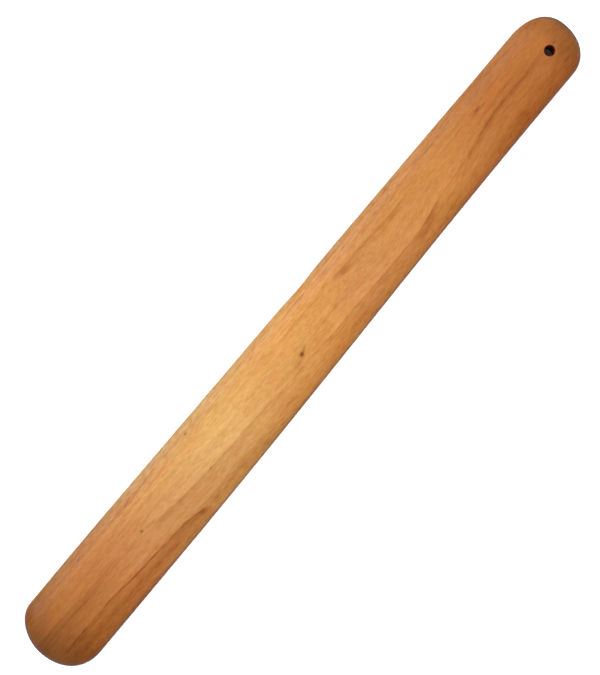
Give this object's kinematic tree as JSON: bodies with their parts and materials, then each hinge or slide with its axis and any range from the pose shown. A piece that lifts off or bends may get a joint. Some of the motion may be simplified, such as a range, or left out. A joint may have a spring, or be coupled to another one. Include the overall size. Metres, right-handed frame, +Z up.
{
  "type": "devil stick",
  "caption": "Flat tapered wooden hand stick with crowned faces, rounded edges and ends, and a small hanging hole drilled through near its narrow end.",
  "frame": {"origin": "bottom centre of the stick's box, on the surface that the stick lies on", "axes": "+X along the stick towards the narrow end with the hole, +Y across it, +Z up through its thickness"},
  "size_m": [0.45, 0.047, 0.012],
  "materials": {
    "oiled_wood": "orange-brown hardwood with fine lengthwise grain, rubbed with oil to a soft satin and darker towards both ends"
  },
  "bodies": {
    "root": {"wooden_stick": "oiled_wood"}
  },
  "joints": []
}
